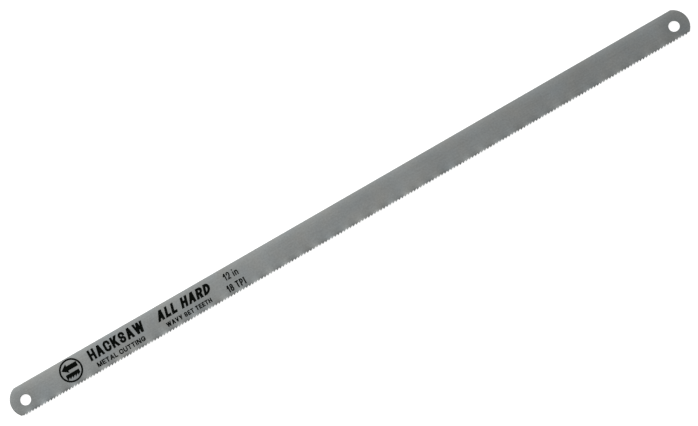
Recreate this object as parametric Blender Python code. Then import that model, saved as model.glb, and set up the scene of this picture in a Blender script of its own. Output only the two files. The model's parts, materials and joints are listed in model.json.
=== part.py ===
"""A hand hacksaw blade: one hardened strip of high-speed steel, 300 mm between its pin holes.

The blade lies flat. +X runs along it, the teeth point towards -X, +Y is towards the back edge, and Z is its
thickness. The origin is the middle of the blade's outline, on the surface that it lies on. The strip is
divided into three lengths: the toothed length, and an eye at each end, which is small enough for its collision
hulls to leave the pin hole open. Each length is punched out of the same flat, toothed strip, and its tooth line
is then pressed into the same wave.
"""

import math

import bmesh
import bpy
import numpy as np

MM = 0.001

# The strip.
HOLE_SPACING = 300.0 * MM  # between the centres of the two pin holes
BLADE_WIDTH = 12.0 * MM  # from the back edge to the tooth tips
HOLE_TO_BACK = 6.5 * MM  # from the line of the hole centres to the back edge
SHEET_THICKNESS = 0.65 * MM

# The ends.
PIN_HOLE_DIAMETER = 4.5 * MM
END_OVERHANG = 6.4 * MM  # from a hole centre to the end of the blade
END_RISE = 4.4 * MM  # how far the end's arc stands out past its farther corner
BACK_CORNER_RADIUS = 1.0 * MM
EYE_REACH = 7.0 * MM  # how far an eye runs inboard of its hole centre
DIVISION_GAP = 0.05 * MM  # between an eye and the toothed length

# The teeth, which point towards -X.
TEETH_PER_INCH = 18
TOOTH_DEPTH = 0.70 * MM
GULLET_RADIUS = 0.20 * MM
RAKE_LEAN = math.radians(4.0)  # how far the cutting face leans back from square

# The wavy set. Each side of the tooth line swings out by SET_REACH.
SET_REACH = 0.16 * MM
SET_DEPTH = 1.9 * MM  # how far above the tips the bending starts
WAVE_LENGTH = 7.0 * MM
WAVE_CREST = 3.0 * MM  # the x of one crest

# How finely the round shapes are divided.
GULLET_STEPS = 2
END_STEPS = 22
CORNER_STEPS = 3
HOLE_STEPS = 28

INCH = 25.4 * MM
PUNCH_MARGIN = 1.0 * MM  # how far a punch passes the strip
STEEL_COLOR = (0.2, 0.21, 0.206, 1.0)

PITCH = INCH / TEETH_PER_INCH
HOLE_X = HOLE_SPACING / 2
END_X = HOLE_X + END_OVERHANG
DIVISION_X = HOLE_X - EYE_REACH
FAR_X = END_X + PITCH + 2 * PUNCH_MARGIN  # past the end of the untrimmed strip
BACK_Y = BLADE_WIDTH / 2
TIP_Y = -BLADE_WIDTH / 2
HOLE_Y = BACK_Y - HOLE_TO_BACK
SET_LINE_Y = TIP_Y + SET_DEPTH
MIDDLE_Z = SHEET_THICKNESS / 2 + SET_REACH  # the deepest tips of the wave touch z = 0


def tooth_outline():
    """One tooth as (x, height) from its tip: the tip, then the gullet's arc, which touches the clearance face
    of this tooth and the cutting face of the next one."""
    centre_h = TOOTH_DEPTH - GULLET_RADIUS
    centre_x = PITCH - (GULLET_RADIUS + centre_h * math.sin(RAKE_LEAN)) / math.cos(RAKE_LEAN)
    reach = math.hypot(centre_x, centre_h)
    clearance = math.atan2(centre_h, centre_x) + math.asin(GULLET_RADIUS / reach)
    arc = np.linspace(math.pi / 2 + clearance, RAKE_LEAN, GULLET_STEPS + 1)
    gullet = [(centre_x + GULLET_RADIUS * math.cos(t), centre_h + GULLET_RADIUS * math.sin(t)) for t in arc]
    return [(0.0, 0.0), *gullet]


def end_outline():
    """The right-hand end as (x, y), from the back edge round to below the tips: a small rounding at the back
    corner, then the end's arc."""
    half_chord = max(HOLE_TO_BACK, BLADE_WIDTH - HOLE_TO_BACK)
    radius = (half_chord**2 + END_RISE**2) / (2 * END_RISE)
    centre_x = END_X - radius
    small = min(BACK_CORNER_RADIUS, HOLE_TO_BACK / 2)
    small_y = HOLE_TO_BACK - small
    small_x = math.sqrt((radius - small) ** 2 - small_y**2)
    join = math.atan2(small_y, small_x)
    corner = [
        (centre_x + small_x + small * math.cos(t), HOLE_Y + small_y + small * math.sin(t))
        for t in np.linspace(math.pi / 2, join, CORNER_STEPS, endpoint=False)
    ]
    lowest = -math.asin(min(1.0, (BLADE_WIDTH - HOLE_TO_BACK) / radius))
    arc = [
        (centre_x + radius * math.cos(t), HOLE_Y + radius * math.sin(t))
        for t in np.linspace(join, lowest, END_STEPS + 1)
    ]
    return corner + arc


def mesh_object(name, vertices, faces):
    mesh = bpy.data.meshes.new(name)
    mesh.from_pydata([tuple(v) for v in vertices], [], faces)
    mesh.validate()
    made = bpy.data.objects.new(name, mesh)
    bpy.context.scene.collection.objects.link(made)
    return made


def flat_strip(name):
    """The toothed strip, flat and a little too long. Each tooth has its own column of faces: the tooth up to
    the set line, then a panel up to the back edge."""
    outline = tooth_outline()
    last = math.ceil((END_X + PUNCH_MARGIN) / PITCH)
    tips = [k * PITCH for k in range(-last, last + 1)]
    edge = [(tip + x, TIP_Y + h) for tip in tips[:-1] for x, h in outline] + [(tips[-1], TIP_Y)]
    rows = edge + [(x, SET_LINE_Y) for x in tips] + [(x, BACK_Y) for x in tips]
    set_row = len(edge)
    back_row = set_row + len(tips)
    below = len(rows)
    half = SHEET_THICKNESS / 2
    vertices = [(x, y, half) for x, y in rows] + [(x, y, -half) for x, y in rows]

    top = []
    for k in range(len(tips) - 1):
        tooth = list(range(k * len(outline), (k + 1) * len(outline) + 1))
        top.append([*tooth, set_row + k + 1, set_row + k])
        top.append([set_row + k, set_row + k + 1, back_row + k + 1, back_row + k])
    bottom = [[below + v for v in reversed(face)] for face in top]

    rim = [*range(set_row), back_row - 1, *range(below - 1, back_row - 1, -1), set_row]
    walls = [[b, a, below + a, below + b] for a, b in zip(rim, rim[1:] + rim[:1], strict=True)]
    return mesh_object(name, vertices, top + bottom + walls)


def punch(name, outline):
    """A punch through the sheet with this outline, whose points run anticlockwise seen from above."""
    height = SHEET_THICKNESS / 2 + PUNCH_MARGIN
    count = len(outline)
    vertices = [(x, y, height) for x, y in outline] + [(x, y, -height) for x, y in outline]
    sides = [[k, count + k, count + (k + 1) % count, (k + 1) % count] for k in range(count)]
    made = mesh_object(name, vertices, [list(range(count)), [count + k for k in reversed(range(count))], *sides])
    made.hide_render = True
    made.display_type = "WIRE"
    return made


def end_punch(name, side):
    """The punch that trims one end, side +1 or -1. It keeps what lies inside the end's outline."""
    shape = end_outline()
    shape = [
        (shape[0][0], BACK_Y + PUNCH_MARGIN),
        *shape,
        (shape[-1][0], TIP_Y - PUNCH_MARGIN),
        (FAR_X, TIP_Y - PUNCH_MARGIN),
        (FAR_X, BACK_Y + PUNCH_MARGIN),
    ]
    outline = [(side * x, y) for x, y in shape]
    return punch(name, outline if side > 0 else outline[::-1])


def length_punch(name, left, right):
    """The punch that takes away the whole strip between two places along it."""
    low, high = TIP_Y - PUNCH_MARGIN, BACK_Y + PUNCH_MARGIN
    return punch(name, [(left, low), (right, low), (right, high), (left, high)])


def pin_punch(name, side):
    """The punch for one pin hole, with flats that touch the hole's true circle."""
    step = 2 * math.pi / HOLE_STEPS
    radius = PIN_HOLE_DIAMETER / 2 / math.cos(step / 2)
    turns = [(k + 0.5) * step for k in range(HOLE_STEPS)]
    return punch(name, [(side * HOLE_X + radius * math.cos(t), HOLE_Y + radius * math.sin(t)) for t in turns])


def cut(strip, punches):
    """Takes the punches out of the strip and keeps the result as the strip's own mesh of triangles."""
    for made in punches:
        modifier = strip.modifiers.new(made.name, "BOOLEAN")
        modifier.operation = "DIFFERENCE"
        modifier.solver = "EXACT"
        modifier.object = made
    bpy.context.view_layer.update()
    shape = strip.evaluated_get(bpy.context.evaluated_depsgraph_get())
    trimmed = bmesh.new()
    trimmed.from_mesh(shape.to_mesh())
    shape.to_mesh_clear()
    bmesh.ops.triangulate(trimmed, faces=trimmed.faces)
    strip.modifiers.clear()
    trimmed.to_mesh(strip.data)
    trimmed.free()


def press_set(strip):
    """Bends the tooth line into its wave. The sheet swings as a cosine along X, from nothing at the set line
    to SET_REACH at the tips, and is lifted so that the deepest tips touch z = 0."""
    points = np.empty(len(strip.data.vertices) * 3, np.float32)
    strip.data.vertices.foreach_get("co", points)
    points = points.reshape(-1, 3)
    bend = np.clip((SET_LINE_Y - points[:, 1]) / SET_DEPTH, 0.0, 1.0)
    wave = np.cos(2 * math.pi * (points[:, 0] - WAVE_CREST) / WAVE_LENGTH)
    points[:, 2] += SET_REACH * bend * wave + MIDDLE_Z
    strip.data.vertices.foreach_set("co", points.ravel())
    strip.data.update()


def steel():
    """Hardened high-speed steel, blasted to a matt mid grey."""
    material = bpy.data.materials.new("blade_steel")
    material.use_nodes = True
    shader = material.node_tree.nodes["Principled BSDF"]
    shader.inputs["Base Color"].default_value = STEEL_COLOR
    shader.inputs["Metallic"].default_value = 1.0
    shader.inputs["Roughness"].default_value = 0.5
    return material


def length_of_blade(name, punches, material):
    """One length of the blade, left after these punches."""
    made = flat_strip(name)
    cut(made, punches)
    press_set(made)
    made.data.materials.append(material)
    return made


def eye(name, side, material):
    """The eye at one end, side +1 or -1: the blade from its end to the division, with the pin hole."""
    inboard = sorted([side * (DIVISION_X + DIVISION_GAP / 2), -side * FAR_X])
    punches = [
        end_punch(f"{name}_end_punch", side),
        pin_punch(f"{name}_pin_punch", side),
        length_punch(f"{name}_division_punch", *inboard),
    ]
    return length_of_blade(name, punches, material)


def toothed_length(name, material):
    """The blade between its two eyes."""
    stop = DIVISION_X - DIVISION_GAP / 2
    punches = [
        length_punch(f"{name}_front_punch", -FAR_X, -stop),
        length_punch(f"{name}_rear_punch", stop, FAR_X),
    ]
    return length_of_blade(name, punches, material)


for old in list(bpy.data.objects):
    bpy.data.objects.remove(old, do_unlink=True)

blade_steel = steel()
eye("front_eye", -1, blade_steel)
toothed_length("toothed_length", blade_steel)
eye("rear_eye", 1, blade_steel)
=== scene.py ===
"""A hand hacksaw blade, lying flat: one matt steel strip with rounded ends, a pin hole at each end, a
fine tooth line pressed into a wave, and black marks printed near the front end.

It is laid out as a Blender add-on and run as a script. Lengths are in metres.
"""

import json
import math

import bmesh
import bpy
import numpy as np
from bpy.props import FloatProperty, FloatVectorProperty, IntProperty, PointerProperty, StringProperty
from mathutils import Matrix, Vector
from mathutils.geometry import delaunay_2d_cdt


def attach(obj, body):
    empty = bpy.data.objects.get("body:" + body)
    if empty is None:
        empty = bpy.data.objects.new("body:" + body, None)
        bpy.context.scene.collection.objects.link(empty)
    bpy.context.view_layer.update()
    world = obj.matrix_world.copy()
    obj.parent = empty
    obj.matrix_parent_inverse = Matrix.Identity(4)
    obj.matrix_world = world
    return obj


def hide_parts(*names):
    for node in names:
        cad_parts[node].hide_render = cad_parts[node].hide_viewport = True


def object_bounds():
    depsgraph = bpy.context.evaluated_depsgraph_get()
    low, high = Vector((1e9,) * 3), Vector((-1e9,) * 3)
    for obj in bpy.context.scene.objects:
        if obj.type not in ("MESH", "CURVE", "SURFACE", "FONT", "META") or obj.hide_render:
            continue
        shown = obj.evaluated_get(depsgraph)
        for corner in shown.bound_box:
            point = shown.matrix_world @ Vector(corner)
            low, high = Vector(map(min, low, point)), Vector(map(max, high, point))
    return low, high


bl_info = {
    "name": "Hacksaw blade",
    "version": (1, 0, 0),
    "blender": (4, 5, 0),
    "location": "3D Viewport > Sidebar > Blade",
    "description": "Makes a hand hacksaw blade with its printed marks, and a stage to show it on",
    "category": "Add Mesh",
}

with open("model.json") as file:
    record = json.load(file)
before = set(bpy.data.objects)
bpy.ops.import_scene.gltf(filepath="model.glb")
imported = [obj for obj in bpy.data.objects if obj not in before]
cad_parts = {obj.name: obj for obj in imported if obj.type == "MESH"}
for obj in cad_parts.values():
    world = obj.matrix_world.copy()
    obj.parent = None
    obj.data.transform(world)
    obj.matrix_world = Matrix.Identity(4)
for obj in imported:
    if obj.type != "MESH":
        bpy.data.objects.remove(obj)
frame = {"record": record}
CAD_LOW, CAD_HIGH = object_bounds()
FACES = {m["name"]: m["pos_m"] for m in frame["record"]["mounts"]}
TOP_Z = FACES["front_eye_top"][2]
UNDER_Z = FACES["front_eye_underside"][2]
BLADE_NODES = ("front_eye", "toothed_length", "rear_eye")
MM = 0.001
INCH = 0.0254
HOLE_SPACING = 300 * MM

# How finely curves and surfaces are divided.
GULLET_POINTS = 8
END_POINTS = 46
CORNER_POINTS = 6
BACK_POINTS = 240
HOLE_POINTS = 64
RIM_STEPS = 3
COLUMNS_PER_WAVE = 20
ROWS_OF_SET = 12
BEND_POINTS = 9
RING_POINTS = 33

# What a triangulation gives back: all of its hull, or the inside of its loops with the holes left open.
WHOLE_HULL = 0
INSIDE_WITH_HOLES = 2


# Sizes and colours


def length(name, description, default):
    return FloatProperty(
        name=name, description=description, default=default, min=0.0, unit="LENGTH", precision=5
    )


def colour(name, description, default):
    return FloatVectorProperty(
        name=name, description=description, default=default, size=3, min=0.0, max=1.0, subtype="COLOR"
    )


class BladeShape(bpy.types.PropertyGroup):
    """The steel strip: its outline, its teeth and their set."""

    width: length("Width", "From the back edge to the tooth tips", CAD_HIGH.y - CAD_LOW.y)
    hole_spacing: length("Hole spacing", "Between the centres of the pin holes", HOLE_SPACING)
    hole_diameter: length("Pin hole", "Diameter of a pin hole", 4.5 * MM)
    hole_to_back: length("Hole to back", "From the hole line to the back edge", 6.5 * MM)
    end_overhang: length("End overhang", "From a hole centre to the end", CAD_HIGH.x - HOLE_SPACING / 2)
    end_rise: length("End rise", "How far an end's arc stands out past its farther corner", 4.4 * MM)
    corner_radius: length("Back corner", "Radius of the back corners, seen from above", 1.0 * MM)
    edge_round: length("Edge rounding", "Rounding of the back edge, the ends and the holes", 0.08 * MM)
    burr_round: length("Tooth edge", "Rounding of the milled edges of the teeth", 0.015 * MM)
    teeth_per_inch: IntProperty(name="Teeth per inch", description="Teeth in 25.4 mm", default=18, min=8)
    tooth_depth: length("Tooth depth", "From the tips to the bottom of the gullets", 0.7 * MM)
    gullet_radius: length("Gullet radius", "Radius at the bottom of a gullet", 0.2 * MM)
    rake_lean: FloatProperty(
        name="Rake lean",
        description="How far the cutting faces lean back from square",
        default=math.radians(4),
        subtype="ANGLE",
    )
    set_reach: length("Set", "How far the tips swing to each side", UNDER_Z)
    set_fade: length("Set fade", "Height above the tips at which the set is 0.37 of its full reach", 1.2 * MM)
    wave_length: length("Set wave", "Length of one wave of the set", 7.0 * MM)
    wave_crest: FloatProperty(
        name="Wave crest",
        description="Where one crest of the set lies along the blade",
        default=3.0 * MM,
        unit="LENGTH",
        precision=5,
    )
    steel: colour("Steel", "The blasted steel", (0.193, 0.202, 0.199))


class BladePrint(bpy.types.PropertyGroup):
    """The marks printed near the front end."""

    type_word: StringProperty(name="Type", description="The large upright word", default="HACKSAW")
    type_line: StringProperty(name="Type line", description="The line below it", default="METAL CUTTING")
    grade_word: StringProperty(name="Grade", description="The large slanted word", default="ALL HARD")
    grade_line: StringProperty(name="Grade line", description="The line below it", default="WAVY SET TEETH")
    length_mark: StringProperty(name="Length", description="The length mark", default="12 in")
    tooth_mark: StringProperty(name="Teeth", description="The tooth mark", default="18 TPI")
    film: length("Film", "Thickness of the ink", 0.012 * MM)
    ink: colour("Ink", "The printed ink", (0.0016, 0.0022, 0.0016))


class BladeStage(bpy.types.PropertyGroup):
    """The floor, the light and the camera."""

    floor: colour("Floor", "The plain floor", (0.55, 0.55, 0.55))
    glow: FloatProperty(name="Floor glow", description="Light that the floor gives off", default=0.7, min=0.0)
    sky: FloatProperty(name="Surround", description="Brightness of the even light all round", default=0.75)
    key: FloatProperty(name="Key light", description="Power of the key light", default=9.8, unit="POWER")
    tilt: FloatProperty(
        name="Tilt",
        description="How far the camera leans from straight above, below 0 over the teeth",
        default=math.radians(-11),
        subtype="ANGLE",
    )
    roll: FloatProperty(
        name="Roll",
        description="How far the blade rises across the view",
        default=math.radians(29.94),
        subtype="ANGLE",
    )
    lens: FloatProperty(name="Lens", description="Focal length", default=135.0, unit="CAMERA")
    distance: length("Distance", "From the camera to the point it looks at", 1049.2 * MM)
    aim: FloatVectorProperty(
        name="Aim",
        description="The point in the middle of the view, from the middle of the hole line",
        default=(-0.27 * MM, 0.12 * MM),
        size=2,
        subtype="XYZ",
        unit="LENGTH",
        precision=5,
    )


# Shapes


def tooth_profile(shape):
    """One tooth as x and height from its tip. The clearance face rises straight from the tip, an arc turns
    the gullet, and the cutting face drops straight to the next tip. The arc touches both faces, so the
    clearance angle is the angle of its centre seen from the tip plus the arc sine of its radius over their
    distance."""
    pitch = INCH / shape.teeth_per_inch
    radius, lean = shape.gullet_radius, shape.rake_lean
    centre_h = shape.tooth_depth - radius
    centre_x = pitch - (radius + centre_h * math.sin(lean)) / math.cos(lean)
    clearance = math.atan2(centre_h, centre_x) + math.asin(radius / math.hypot(centre_x, centre_h))
    turn = np.linspace(math.pi / 2 + clearance, lean, GULLET_POINTS)
    x = centre_x + radius * np.cos(turn)
    height = centre_h + radius * np.sin(turn)
    return np.r_[0.0, x[0] / 2, x], np.r_[0.0, height[0] / 2, height]


def end_curve(shape, lowest):
    """The rear end seen from above, from y of lowest up to the back edge: an arc about a centre on the hole
    line, then a small arc that touches it and the back edge."""
    half_chord = max(shape.hole_to_back, shape.width - shape.hole_to_back)
    radius = (half_chord**2 + shape.end_rise**2) / (2 * shape.end_rise)
    centre_x = shape.hole_spacing / 2 + shape.end_overhang - radius
    small = shape.corner_radius
    small_y = shape.hole_to_back - small
    small_x = math.sqrt((radius - small) ** 2 - small_y**2)
    join = math.atan2(small_y, small_x)
    start = math.asin((lowest - hole_y(shape)) / radius)
    arc = np.linspace(start, join, END_POINTS)
    corner = np.linspace(join, math.pi / 2, CORNER_POINTS)[1:]
    x = np.r_[centre_x + radius * np.cos(arc), centre_x + small_x + small * np.cos(corner)]
    y = np.r_[radius * np.sin(arc), small_y + small * np.sin(corner)]
    return np.c_[x, y + hole_y(shape)]


def end_reach(shape, y):
    """How far the ends reach along x at these places across the blade."""
    end = end_curve(shape, -shape.width / 2)
    return np.interp(y, end[:, 1], end[:, 0])


def hole_y(shape):
    return shape.width / 2 - shape.hole_to_back


def blade_path(shape):
    """The blade's outline, anticlockwise from above: the teeth from front to rear, the rear end, the back
    edge and the front end. Returns the points and how much each one's edges are rounded, which grows from
    the teeth's rounding to the full one over the blend, a height above the gullets."""
    pitch = INCH / shape.teeth_per_inch
    clear_of_end, blend = 0.02 * MM, 1.2 * MM
    profile_x, profile_h = tooth_profile(shape)
    last = math.ceil((shape.hole_spacing / 2 + shape.end_overhang) / pitch)
    tips = np.arange(-last, last) * pitch
    teeth = np.c_[
        (tips[:, None] + profile_x).ravel(),
        np.tile(profile_h, len(tips)) - shape.width / 2,
    ]
    teeth = teeth[np.abs(teeth[:, 0]) < end_reach(shape, teeth[:, 1]) - clear_of_end]
    rear = end_curve(shape, teeth[-1, 1])
    front = end_curve(shape, teeth[0, 1])[::-1] * (-1, 1)
    back_x = np.linspace(rear[-1, 0], front[0, 0], BACK_POINTS)[1:-1]
    back = np.c_[back_x, np.full(len(back_x), shape.width / 2)]
    points = np.concatenate([teeth, rear, back, front])
    above = np.clip((points[:, 1] + shape.width / 2 - shape.tooth_depth) / blend, 0, 1)
    is_tooth = np.arange(len(points)) < len(teeth)
    rounding = shape.burr_round + (shape.edge_round - shape.burr_round) * np.where(is_tooth, 0, above)
    return points, rounding


def set_lift(shape, x, y):
    """How far the wavy set carries the sheet off its flat: a cosine along x, times the exponential of minus
    the height above the tips over the fade, so that the bend is steepest at the tips and dies away up the
    sheet."""
    wave = np.cos(math.tau * (x - shape.wave_crest) / shape.wave_length)
    return shape.set_reach * wave * np.exp(-(y + shape.width / 2) / shape.set_fade)


def miter(path):
    """The outward miter of each point of an anticlockwise path: the sum of its two sides' outward normals
    over one plus their dot product, so that a step along it moves both sides outwards by the same amount."""
    ahead = np.roll(path, -1, axis=0) - path
    ahead /= np.linalg.norm(ahead, axis=1, keepdims=True)
    out = np.c_[ahead[:, 1], -ahead[:, 0]]
    before = np.roll(out, 1, axis=0)
    return (out + before) / (1 + (out * before).sum(axis=1, keepdims=True))


def rim(path, rounding, low, high, steps):
    """The wall round a path, from the top face to the bottom one. Each row is the path moved inwards and down
    by a quarter turn of its rounding: in by 1 - sin, down by 1 - cos."""
    turn = np.linspace(0, math.pi / 2, steps + 1)
    inwards = np.r_[1 - np.sin(turn), (1 - np.sin(turn))[::-1]]
    down = np.outer(1 - np.cos(turn), rounding)
    z = np.concatenate([high - down, (low + down)[::-1]])
    xy = path - inwards[:, None, None] * rounding[:, None] * miter(path)
    vertices = np.dstack([xy, z]).reshape(-1, 3)
    rows, count = z.shape
    row, k = np.meshgrid(np.arange(rows - 1), np.arange(count), indexing="ij")
    after = (k + 1) % count
    upper, lower = row * count, (row + 1) * count
    quads = np.stack([upper + k, lower + k, lower + after, upper + after], -1)
    return vertices, quads.reshape(-1, 4)


def plate(paths, roundings, inner, low, high, steps):
    """A flat plate between two heights. Paths are its outlines, holes running clockwise; both faces are
    triangles between the paths, through the inner points, and a rim closes each path."""
    rings = [path - rounding[:, None] * miter(path) for path, rounding in zip(paths, roundings, strict=True)]
    starts = np.cumsum([0, *map(len, rings)])
    loops = [list(range(a, b)) for a, b in zip(starts[:-1], starts[1:], strict=True)]
    flat = np.concatenate([*rings, inner]) / MM
    found, _, triangles, *_ = delaunay_2d_cdt(flat.tolist(), [], loops, INSIDE_WITH_HOLES, 1e-7)
    xy = np.array(found) * MM
    top = np.c_[xy, np.full(len(xy), high)]
    vertices = [top, top - (0, 0, high - low)]
    faces = list(triangles) + [[len(xy) + v for v in reversed(face)] for face in triangles]
    for path, rounding in zip(paths, roundings, strict=True):
        points, quads = rim(path, rounding, low, high, steps)
        faces += (quads + sum(map(len, vertices))).tolist()
        vertices.append(points)
    return np.concatenate(vertices), faces


def weld(name, vertices, faces, within):
    """A mesh of these vertices and faces, with the vertices that meet made one."""
    mesh = bpy.data.meshes.new(name)
    mesh.from_pydata(vertices.tolist(), [], faces)
    welded = bmesh.new()
    welded.from_mesh(mesh)
    bmesh.ops.remove_doubles(welded, verts=welded.verts, dist=within)
    welded.to_mesh(mesh)
    welded.free()
    return mesh


def piece(name, mesh, material):
    """A finished piece of the object, which moves with the blade."""
    made = bpy.data.objects.new(name, mesh)
    bpy.context.scene.collection.objects.link(made)
    made.data.materials.append(material)
    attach(made, "root")
    return made


def circle(x, y, radius, count):
    """A clockwise circle, as a hole's outline."""
    turn = -np.arange(count) * math.tau / count
    return np.c_[x + radius * np.cos(turn), y + radius * np.sin(turn)]


def sheet_points(shape, holes):
    """Points inside the sheet: rows above the teeth, close enough to follow the wave of the set, and a ring
    round each hole, so that the flat of the sheet isn't shaded by its rounded edges. The rows are closest
    near the teeth, where the bend is steepest. A point of a row is kept if it is clear of the ends and the
    holes."""
    half, room = shape.hole_spacing / 2, 0.5 * MM
    lowest, highest = shape.tooth_depth + 0.12 * MM, 6 * shape.set_fade
    heights = np.linspace(math.sqrt(lowest), math.sqrt(highest), ROWS_OF_SET) ** 2
    tip, step = half + shape.end_overhang, shape.wave_length / COLUMNS_PER_WAVE
    columns = np.r_[-tip:-half:step, -half:half:step, half:tip:step]
    x, y = np.meshgrid(columns, heights - shape.width / 2)
    clear = np.abs(x) < end_reach(shape, y) - room
    clear &= np.hypot(np.abs(x) - half, y - hole_y(shape)) > shape.hole_diameter / 2 + room
    rings = [path - room / 2 * miter(path) for path in holes]
    return np.concatenate([np.c_[x[clear], y[clear]], *rings])


def saw_blade_mesh(shape):
    outline, rounding = blade_path(shape)
    half = shape.hole_spacing / 2
    holes = [circle(x, hole_y(shape), shape.hole_diameter / 2, HOLE_POINTS) for x in (-half, half)]
    paths = [outline, *holes]
    roundings = [rounding, *(np.full(len(hole), shape.edge_round) for hole in holes)]
    inner = sheet_points(shape, holes)
    vertices, faces = plate(paths, roundings, inner, UNDER_Z, TOP_Z, RIM_STEPS)
    vertices[:, 2] += set_lift(shape, vertices[:, 0], vertices[:, 1])
    return weld("saw_blade", vertices, faces, within=1e-7)


# Materials


class Wire:
    """One value of a material. Arithmetic on it adds Math nodes."""

    def __init__(self, recipe, socket):
        self.recipe, self.socket = recipe, socket

    def maths(self, operation, *values):
        return self.recipe.add("ShaderNodeMath", {"operation": operation}, dict(enumerate(values)))

    def __add__(self, other):
        return self.maths("ADD", self, other)

    def __sub__(self, other):
        return self.maths("SUBTRACT", self, other)

    def __rsub__(self, other):
        return self.maths("SUBTRACT", other, self)

    def __mul__(self, other):
        return self.maths("MULTIPLY", self, other)

    def __pow__(self, other):
        return self.maths("POWER", self, other)

    def __abs__(self):
        return self.maths("ABSOLUTE", self)

    def cosine(self):
        return self.maths("COSINE", self)

    __radd__, __rmul__ = __add__, __mul__


class Recipe:
    """A material being made."""

    def __init__(self, name):
        self.material = bpy.data.materials.new(name)
        self.material.use_nodes = True
        self.tree = self.material.node_tree
        self.tree.nodes.clear()

    def node(self, kind, settings=None, sockets=None):
        """A new node: its settings first, then the values or wires of its sockets."""
        node = self.tree.nodes.new(kind)
        for name, value in (settings or {}).items():
            setattr(node, name, value)
        for name, value in (sockets or {}).items():
            if isinstance(value, Wire):
                self.tree.links.new(value.socket, node.inputs[name])
            else:
                node.inputs[name].default_value = value
        return node

    def add(self, kind, settings=None, sockets=None, output=0):
        """A new node's output as a wire."""
        return Wire(self, self.node(kind, settings, sockets).outputs[output])

    def place(self):
        return self.add("ShaderNodeTexCoord", output="Object")

    def split(self, vector):
        axes = self.node("ShaderNodeSeparateXYZ", sockets={"Vector": vector})
        return [Wire(self, socket) for socket in axes.outputs]

    def stretched(self, vector, scale):
        return self.add("ShaderNodeMapping", sockets={"Vector": vector, "Scale": scale})

    def noise(self, vector, scale, detail=2.0, roughness=0.5):
        """Noise from -1 to 1, with features of about 1 / scale metres."""
        sockets = {"Vector": vector, "Scale": scale, "Detail": detail, "Roughness": roughness}
        return self.add("ShaderNodeTexNoise", sockets=sockets) * 2.0 - 1.0

    def rise(self, value, start, stop):
        """0 at start and before it, 1 at stop and past it, and smooth between them."""
        sockets = {"Value": value, "From Min": start, "From Max": stop}
        return self.add("ShaderNodeMapRange", {"interpolation_type": "SMOOTHSTEP"}, sockets)

    def ramp(self, value, start, stop):
        """0 at start and before it, 1 at stop and past it, and straight between them."""
        return self.add("ShaderNodeMapRange", sockets={"Value": value, "From Min": start, "From Max": stop})

    def mix(self, factor, first, second):
        """A mix of two colours. A Mix node has a set of sockets for each type of data, and the colours' ones
        are inputs 6 and 7 and output 2."""
        settings = {"data_type": "RGBA", "clamp_factor": True}
        return self.add("ShaderNodeMix", settings, {0: factor, 6: first, 7: second}, output=2)

    def bump(self, height, distance):
        return self.add("ShaderNodeBump", sockets={"Height": height, "Distance": distance})

    def finish(self, **sockets):
        """The surface itself, from the sockets of a Principled shader."""
        names = {name.replace("_", " "): value for name, value in sockets.items()}
        shader = self.add("ShaderNodeBsdfPrincipled", sockets=names)
        self.node("ShaderNodeOutputMaterial", sockets={"Surface": shader})
        return self.material


def shade(rgb, by, warmth=0.0):
    """A colour made lighter or darker, and warmer by a share of its red and blue."""
    tint = (1 + warmth, 1, 1 - warmth)
    return (*(min(1.0, channel * by * part) for channel, part in zip(rgb, tint, strict=True)), 1.0)


def blasted_steel(shape):
    """Matt hardened steel: a fine blasted grain, cloudy patches, faint marks of rolling along the strip, a
    painted highlight in a lighter band towards the back edge, a darker tint round the pin holes, and milled
    teeth with painted light and shade along the wave of the set, lighter where the set raises them and darker
    where it lowers them."""
    steel = Recipe("blasted_steel")
    place = steel.place()
    x, y, _ = steel.split(place)
    grain = steel.noise(place, scale=4200.0, detail=3.0, roughness=0.6)
    speck = steel.noise(place, scale=1300.0)
    cloud = steel.noise(place, scale=60.0, detail=3.0)
    along_strip = steel.stretched(place, (45.0, 2600.0, 1.0))
    rolled = steel.noise(along_strip, scale=1.0, detail=4.0, roughness=0.6)
    painted_highlight_foot, tips, tint_reach = -1.5 * MM, -shape.width / 2, 9.0 * MM
    # Painted highlight: the steel is made lighter in a band towards the back edge, where the rounded edge
    # catches the light.
    back = steel.ramp(y, painted_highlight_foot, shape.width / 2) ** 4.0
    milled = steel.rise(y, tips + 1.5 * shape.tooth_depth, tips + 0.8 * shape.tooth_depth)
    # Painted light and shade: the teeth are made lighter where the set raises them and darker where it lowers
    # them, as the wave of the set tilts them to and from the light.
    painted_set_shading = steel.rise(y, tips + 1.6 * shape.tooth_depth, tips + 0.15 * shape.tooth_depth)
    painted_set_shading = painted_set_shading * ((x - shape.wave_crest) * (math.tau / shape.wave_length)).cosine()
    off_x = (abs(x) - shape.hole_spacing / 2) ** 2.0
    off_y = (y - hole_y(shape)) ** 2.0
    # The steel is made darker within a few millimetres of each pin hole.
    darker_round_holes = 1.0 - steel.rise((off_x + off_y) ** 0.5, shape.hole_diameter / 2, tint_reach)
    # How light the steel is: random grain, specks, clouds and rolling marks, a little lighter on the milled
    # teeth, plus the painted highlight towards the back edge and the painted light and shade along the set's
    # wave.
    light = 0.46 + 0.16 * grain + 0.3 * speck + 0.26 * cloud + 0.22 * rolled
    light = light + 0.55 * back + 0.1 * milled + 0.75 * painted_set_shading - 0.2 * darker_round_holes
    darkest, lightest, warmth = 0.7, 1.3, 0.03
    warm, cool = (
        steel.mix(light, shade(shape.steel, darkest, tint), shade(shape.steel, lightest, tint))
        for tint in (warmth, -warmth)
    )
    return steel.finish(
        Base_Color=steel.mix(0.5 + steel.noise(place, scale=110.0), cool, warm),
        Metallic=1.0,
        Roughness=0.5 + 0.06 * grain + 0.05 * cloud,
        Normal=steel.bump(grain * 0.7 + speck * 0.2 + rolled * 0.3, 0.012 * MM),
    )


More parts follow.
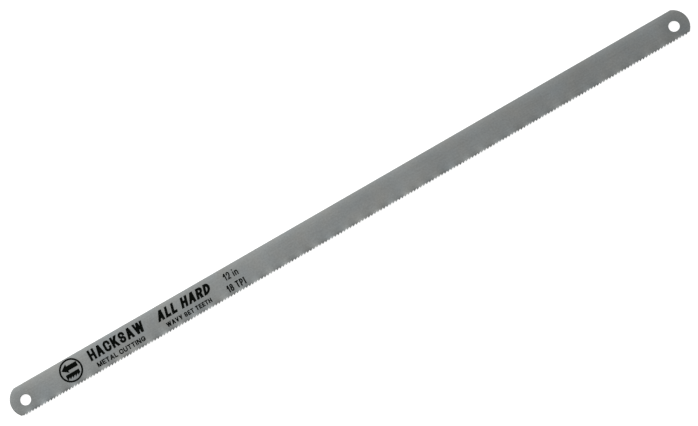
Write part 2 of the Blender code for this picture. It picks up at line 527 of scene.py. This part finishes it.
def printed_ink(marks):
    """Black ink, thin enough for the grain of the steel to show in it, and worn through in small specks."""
    ink = Recipe("printed_ink")
    place, worn_through = ink.place(), 14.0
    grain = ink.noise(place, scale=4200.0, detail=3.0, roughness=0.6)
    worn = ink.rise(ink.noise(place, scale=2600.0), 0.55, 0.8)
    return ink.finish(
        Base_Color=ink.mix(worn * 0.6, shade(marks.ink, 1.0), shade(marks.ink, worn_through)),
        Roughness=0.75 + 0.1 * grain,
        Specular_IOR_Level=0.02,
        Normal=ink.bump(grain, 0.004 * MM),
    )


def plain_floor(stage):
    floor = Recipe("plain_floor")
    return floor.finish(
        Base_Color=(*stage.floor, 1.0),
        Roughness=0.9,
        Specular_IOR_Level=0.0,
        Emission_Color=(1.0, 1.0, 1.0, 1.0),
        Emission_Strength=stage.glow,
    )


# The print

# A letter is its width over its height and its strokes. A stroke's corners lie from 0 to 1 across and up
# the letter, between the middles of its outermost strokes, and corners inside a stroke are rounded.
LETTERS = {
    "A": (0.82, [(0, 0), (0.5, 1)], [(1, 0), (0.5, 1)], [(0.22, 0.3), (0.78, 0.3)]),
    "C": (0.78, [(1, 0.7), (1, 1), (0, 1), (0, 0), (1, 0), (1, 0.3)]),
    "D": (0.76, [(0, 0), (0, 1)], [(0, 1), (1, 1), (1, 0), (0, 0)]),
    "E": (0.66, [(0, 0), (0, 1)], [(0, 0), (1, 0)], [(0, 0.5), (0.9, 0.5)], [(0, 1), (1, 1)]),
    "G": (0.80, [(1, 0.7), (1, 1), (0, 1), (0, 0), (1, 0), (1, 0.4)], [(0.55, 0.4), (1, 0.4)]),
    "H": (0.76, [(0, 0), (0, 1)], [(1, 0), (1, 1)], [(0, 0.5), (1, 0.5)]),
    "I": (0.00, [(0, 0), (0, 1)]),
    "K": (0.80, [(0, 0), (0, 1)], [(0, 0.34), (1, 1)], [(0.36, 0.58), (1, 0)]),
    "L": (0.62, [(0, 0), (0, 1)], [(0, 0), (1, 0)]),
    "M": (0.92, [(0, 0), (0, 1)], [(1, 0), (1, 1)], [(0, 1), (0.5, 0)], [(1, 1), (0.5, 0)]),
    "N": (0.78, [(0, 0), (0, 1)], [(1, 0), (1, 1)], [(0.08, 1), (0.92, 0)]),
    "P": (0.70, [(0, 0), (0, 1)], [(0, 1), (1, 1), (1, 0.42), (0, 0.42)]),
    "R": (0.76, [(0, 0), (0, 1)], [(0, 1), (1, 1), (1, 0.46), (0, 0.46)], [(0.5, 0.46), (1, 0)]),
    "S": (0.72, [(1, 0.76), (1, 1), (0, 1), (0, 0.5), (1, 0.5), (1, 0), (0, 0), (0, 0.24)]),
    "T": (0.70, [(0, 1), (1, 1)], [(0.5, 0), (0.5, 1)]),
    "U": (0.76, [(0, 1), (0, 0), (1, 0), (1, 1)]),
    "V": (0.80, [(0, 1), (0.5, 0)], [(1, 1), (0.5, 0)]),
    "W": (1.16, [(0, 1), (0.25, 0)], [(0.5, 1), (0.25, 0)], [(0.5, 1), (0.75, 0)], [(1, 1), (0.75, 0)]),
    "Y": (0.80, [(0, 1), (0.5, 0.42)], [(1, 1), (0.5, 0.42)], [(0.5, 0), (0.5, 0.42)]),
    "i": (0.00, [(0, 0), (0, 0.62)], [(0, 0.98), (0, 1)]),
    "n": (0.60, [(0, 0), (0, 0.62)], [(0, 0.3), (0, 0.62), (1, 0.62), (1, 0)]),
    "1": (0.48, [(1, 0), (1, 1)], [(0, 0.7), (1, 1)]),
    "2": (0.64, [(0, 0.7), (0, 1), (1, 1), (1, 0.5), (0, 0)], [(0, 0), (1, 0)]),
    "8": (
        0.68,
        [(0.5, 1), (0.06, 1), (0.06, 0.53), (0.5, 0.53)],
        [(0.5, 1), (0.94, 1), (0.94, 0.53), (0.5, 0.53)],
        [(0.5, 0.53), (0, 0.53), (0, 0), (0.5, 0)],
        [(0.5, 0.53), (1, 0.53), (1, 0), (0.5, 0)],
    ),
    " ": (0.2,),
}
LETTER_GAP = 0.11  # a share of the letters' height
STEEP = 0.6  # the rise of a stroke's end, over its length, past which the end is cut level


def rounded(corners):
    """A path whose inner corners are arcs that use nearly all the room on their sides: the whole of a side
    at an end of the path, and half of one between two corners. An arc is the rational quadratic curve with
    the corner as its middle point and the cosine of half the turn as that point's weight, which is a piece
    of a circle."""
    sides = np.diff(corners, axis=0)
    lengths = np.hypot(*sides.T)
    sides /= lengths[:, None]
    share = np.full(len(lengths), 0.49)
    share[[0, -1]] = 0.97
    room = lengths * share
    cuts = np.minimum(room[:-1], room[1:])
    t = np.linspace(0, 1, BEND_POINTS)[:, None]
    path = [corners[:1]]
    for corner, before, after, cut in zip(corners[1:-1], sides[:-1], sides[1:], cuts, strict=True):
        middle = 2 * t * (1 - t) * math.sqrt((1 + before @ after) / 2)
        start, stop = (1 - t) ** 2, t**2
        ends = start * (corner - cut * before) + stop * (corner + cut * after)
        path.append((ends + middle * corner) / (start + middle + stop))
    return np.concatenate([*path, corners[-1:]])


def stroke(corners, thick):
    """A stroke as four-cornered outlines, one for each straight part of its path, which is moved half the
    thickness to each side along its miters. A steep end is cut level and a flat one is square, and both
    reach out by half the thickness, so that strokes which share an end meet there without a notch."""
    path = rounded(corners)
    ahead = np.diff(path, axis=0)
    ahead /= np.hypot(*ahead.T)[:, None]
    left = np.c_[-ahead[:, 1], ahead[:, 0]]
    inner = (left[1:] + left[:-1]) / (1 + (left[1:] * left[:-1]).sum(axis=1, keepdims=True))
    offset = np.concatenate([left[:1], inner, left[-1:]])
    for end, way in ((0, -ahead[0]), (-1, ahead[-1])):
        if abs(way[1]) > STEEP:
            offset[end] = (math.copysign(1 / way[1], offset[end, 0]), 0)
            path[end, 1] += math.copysign(thick / 2, way[1])
        elif way[1] == 0:
            path[end] += way * thick / 2
    right, left = path - offset * thick / 2, path + offset * thick / 2
    return np.stack([right[:-1], right[1:], left[1:], left[:-1]], axis=1)


def line_of_letters(words, box, thick, slant):
    """The outlines of a line's strokes. The letters are stretched along the line until it fills the box of
    (left, right, low, high)."""
    left, right, low, high = box
    height = high - low
    gap = LETTER_GAP * height
    narrow = sum(LETTERS[letter][0] == 0 for letter in words)
    spare = right - left - slant * height - gap * (len(words) - 1) - thick * narrow
    stretch = spare / sum(LETTERS[letter][0] for letter in words)
    outlines = []
    for letter in words:
        share, *strokes = LETTERS[letter]
        width = max(thick, share * stretch)
        for corners in strokes:
            parts = stroke(np.array(corners) * (width - thick, height - thick) + thick / 2, thick)
            parts[..., 0] += slant * parts[..., 1]
            outlines.extend((parts + (left, low)) * MM)
        left += width + gap
    return outlines


def inside(points, outline):
    """Which points an outline goes round: those with unequal numbers of its sides passing upwards and
    downwards on their right."""
    start, stop = outline, np.roll(outline, -1, axis=0)
    along = stop - start
    x, y = points[:, :1], points[:, 1:]
    turn = along[:, 0] * (y - start[:, 1]) - (x - start[:, 0]) * along[:, 1]
    upwards = (start[:, 1] <= y) & (stop[:, 1] > y) & (turn > 0)
    downwards = (start[:, 1] > y) & (stop[:, 1] <= y) & (turn < 0)
    return upwards.sum(axis=1) != downwards.sum(axis=1)


def joined(outlines, spacing):
    """The triangles that any of these outlines covers, with corners on a lattice of this spacing as well, so
    that they can follow a bent surface."""
    points = np.concatenate(outlines)
    sides, first = [], 0
    for outline in outlines:
        ring = first + np.arange(len(outline))
        sides.append(np.c_[ring, np.roll(ring, -1)])
        first += len(outline)
    (left, low), (right, high) = points.min(axis=0), points.max(axis=0)
    lattice = np.meshgrid(np.arange(left, right, spacing), np.arange(low, high, spacing))
    flat = np.concatenate([points, np.stack(lattice, axis=-1).reshape(-1, 2)]) / MM
    sides = np.concatenate(sides).tolist()
    found, _, triangles, *_ = delaunay_2d_cdt(flat.tolist(), sides, [], WHOLE_HULL, 1e-5)
    found, triangles = np.array(found) * MM, np.array(triangles)
    centres = found[triangles].mean(axis=1)
    kept = triangles[np.any([inside(centres, outline) for outline in outlines], axis=0)]
    used, index = np.unique(kept, return_inverse=True)
    return found[used], index.reshape(-1, 3)


def print_mark(name, outlines):
    """Prints outlines on the blade's upper face as a closed film of ink that follows the set and is sunk by
    a share of its thickness: the triangles above, the same ones turned over below, and a wall on each edge
    that only one triangle has."""
    shape, marks = bpy.context.scene.blade_shape, bpy.context.scene.blade_print
    flat, triangles = joined(outlines, spacing=0.5 * MM)
    z, sunk = TOP_Z + set_lift(shape, *flat.T), 0.1
    upper, lower = z + (1 - sunk) * marks.film, z - sunk * marks.film
    vertices = np.concatenate([np.c_[flat, upper], np.c_[flat, lower]])
    edges = np.stack([triangles, np.roll(triangles, -1, axis=1)], axis=-1).reshape(-1, 2)
    count = len(flat)
    forwards, backwards = edges @ (count, 1), edges @ (1, count)
    border = edges[~np.isin(forwards, backwards)]
    walls = np.c_[border[:, 0], border + count, border[:, 1]]
    faces = triangles.tolist() + (triangles[:, ::-1] + count).tolist() + walls.tolist()
    mesh = bpy.data.meshes.new(name)
    mesh.from_pydata(vertices.tolist(), [], faces)
    ink = bpy.data.materials.get("printed_ink") or printed_ink(marks)
    piece(name, mesh, ink)


def emblem_outlines(x, y):
    """The emblem: a ring round an arrow that points to the front end, over a row of saw teeth. The ring is
    two half rings, and all sizes are in millimetres from its middle."""
    outer, inner = 4.95, 4.2
    arc = np.radians(np.linspace(0, 180, RING_POINTS))
    arm = np.c_[np.cos(arc), np.sin(arc)]
    half_ring = np.concatenate([outer * arm, inner * arm[::-1]])
    head = [(-3.7, 1.4), (-1.0, -0.6), (-1.0, 3.4)]
    shaft = [(-1.2, 0.4), (3.4, 0.4), (3.4, 2.4), (-1.2, 2.4)]
    count, pitch, tip_y, gullet_y = 5, 1.2, -3.3, -2.3
    half_row, bar_low, bar_high = count / 2 * pitch, -2.4, -0.9
    tips = (np.arange(count) - count / 2) * pitch
    teeth = [[(tip, tip_y), (tip + pitch, gullet_y), (tip, gullet_y)] for tip in tips]
    bar = [(-half_row, bar_low), (half_row, bar_low), (half_row, bar_high), (-half_row, bar_high)]
    outlines = (half_ring, -half_ring, head, shaft, bar, *teeth)
    return [np.array(outline) * MM + (x, y) for outline in outlines]


# Operators


class BLADE_OT_strip(bpy.types.Operator):
    """Make the steel strip with its teeth, ends and pin holes"""

    bl_idname = "blade.strip"
    bl_label = "Steel strip"

    def execute(self, context):
        shape = context.scene.blade_shape
        mesh = saw_blade_mesh(shape)
        mesh.shade_smooth()
        mesh.set_sharp_from_angle(angle=math.radians(35))
        made = piece("saw_blade", mesh, blasted_steel(shape))
        weighted = made.modifiers.new("flats", "WEIGHTED_NORMAL")
        weighted.keep_sharp = True
        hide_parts(*BLADE_NODES)
        return {"FINISHED"}


class BLADE_OT_emblem(bpy.types.Operator):
    """Print the emblem: a ring with an arrow that shows the cutting direction, over a row of teeth"""

    bl_idname = "blade.emblem"
    bl_label = "Emblem"

    def execute(self, context):
        print_mark("emblem", emblem_outlines(x=-128.3 * MM, y=0.6 * MM))
        return {"FINISHED"}


class BLADE_OT_words(bpy.types.Operator):
    """Print the words and the size marks"""

    bl_idname = "blade.words"
    bl_label = "Words and size marks"

    def execute(self, context):
        marks = context.scene.blade_print
        # Each line's words, its box and its strokes' thickness in millimetres, and its slant.
        lines = {
            "type_word": (marks.type_word, (-119.4, -94.2, -0.45, 4.2), 1.02, 0.0),
            "type_line": (marks.type_line, (-118.0, -96.0, -4.05, -1.95), 0.47, 0.0),
            "grade_word": (marks.grade_word, (-88.3, -63.3, -0.4, 4.0), 1.12, 0.24),
            "grade_line": (marks.grade_line, (-86.0, -65.5, -4.0, -2.0), 0.47, 0.0),
            "length_mark": (marks.length_mark, (-57.0, -50.6, 0.6, 3.7), 0.5, 0.0),
            "tooth_mark": (marks.tooth_mark, (-57.9, -49.8, -4.35, -1.25), 0.56, 0.0),
        }
        for name, line in lines.items():
            print_mark(name, line_of_letters(*line))
        return {"FINISHED"}


class BLADE_OT_stage(bpy.types.Operator):
    """Lay a plain floor and set soft light and the camera"""

    bl_idname = "blade.stage"
    bl_label = "Stage"

    def execute(self, context):
        stage = context.scene.blade_stage
        lay_floor(stage)
        light_evenly(stage)
        set_camera(context.scene)
        return {"FINISHED"}


def lay_floor(stage):
    half = 3.0
    corners = [(-half, -half, 0), (half, -half, 0), (half, half, 0), (-half, half, 0)]
    mesh = bpy.data.meshes.new("floor")
    mesh.from_pydata(corners, [], [(0, 1, 2, 3)])
    mesh.materials.append(plain_floor(stage))
    floor = bpy.data.objects.new("floor", mesh)
    bpy.context.scene.collection.objects.link(floor)


def light_evenly(stage):
    scene = bpy.context.scene
    scene.view_settings.view_transform = "Standard"
    world = bpy.data.worlds.new("surround")
    scene.world = world
    world.use_nodes = True
    background = world.node_tree.nodes["Background"]
    background.inputs["Color"].default_value = (1.0, 1.0, 1.0, 1.0)
    background.inputs["Strength"].default_value = stage.sky
    area_light("key", place=(-0.32, 0.8, 0.85), aim=(0.0, 0.0, 0.0), size=0.4, power=stage.key)


def area_light(name, place, aim, size, power):
    light = bpy.data.lights.new(name, "AREA")
    light.size, light.energy = size, power
    lamp = bpy.data.objects.new(name, light)
    turn = (Vector(aim) - Vector(place)).to_track_quat("-Z", "Y")
    lamp.matrix_world = Matrix.Translation(place) @ turn.to_matrix().to_4x4()
    bpy.context.scene.collection.objects.link(lamp)


def set_camera(scene):
    """Looks down near the middle of the hole line, leaning over the teeth, and rolled so that the blade
    rises to the right."""
    stage, shape = scene.blade_stage, scene.blade_shape
    data = bpy.data.cameras.new("camera")
    data.lens, data.sensor_width = stage.lens, 36.0
    outward = Vector((0.0, math.sin(stage.tilt), math.cos(stage.tilt)))
    across = Vector((1.0, 0.0, 0.0))
    upward = outward.cross(across)
    right = math.cos(stage.roll) * across - math.sin(stage.roll) * upward
    up = math.sin(stage.roll) * across + math.cos(stage.roll) * upward
    camera = bpy.data.objects.new("camera", data)
    turn = Matrix((right, up, outward)).transposed()
    target = Vector((stage.aim[0], hole_y(shape) + stage.aim[1], TOP_Z))
    camera.matrix_world = Matrix.Translation(target + stage.distance * outward) @ turn.to_4x4()
    scene.collection.objects.link(camera)
    scene.camera = camera


class BLADE_PT_sidebar(bpy.types.Panel):
    """The blade's sizes and the buttons that make it"""

    bl_idname = "BLADE_PT_sidebar"
    bl_label = "Hacksaw blade"
    bl_space_type = "VIEW_3D"
    bl_region_type = "UI"
    bl_category = "Blade"

    def draw(self, context):
        for group, makers in PANEL_ROWS:
            box = self.layout.box()
            settings = getattr(context.scene, group)
            for name in settings.__annotations__:
                box.prop(settings, name)
            for maker in makers:
                box.operator(maker)


PANEL_ROWS = (
    ("blade_shape", ("blade.strip",)),
    ("blade_print", ("blade.emblem", "blade.words")),
    ("blade_stage", ("blade.stage",)),
)
GROUPS = {"blade_shape": BladeShape, "blade_print": BladePrint, "blade_stage": BladeStage}
CLASSES = (
    *GROUPS.values(),
    BLADE_OT_strip,
    BLADE_OT_emblem,
    BLADE_OT_words,
    BLADE_OT_stage,
    BLADE_PT_sidebar,
)


def register():
    for made in CLASSES:
        bpy.utils.register_class(made)
    for name, group in GROUPS.items():
        setattr(bpy.types.Scene, name, PointerProperty(type=group))


def unregister():
    for name in GROUPS:
        delattr(bpy.types.Scene, name)
    for made in reversed(CLASSES):
        bpy.utils.unregister_class(made)


def main():
    register()
    bpy.ops.blade.strip()
    bpy.ops.blade.emblem()
    bpy.ops.blade.words()
    bpy.ops.blade.stage()


if __name__ == "__main__":
    main()
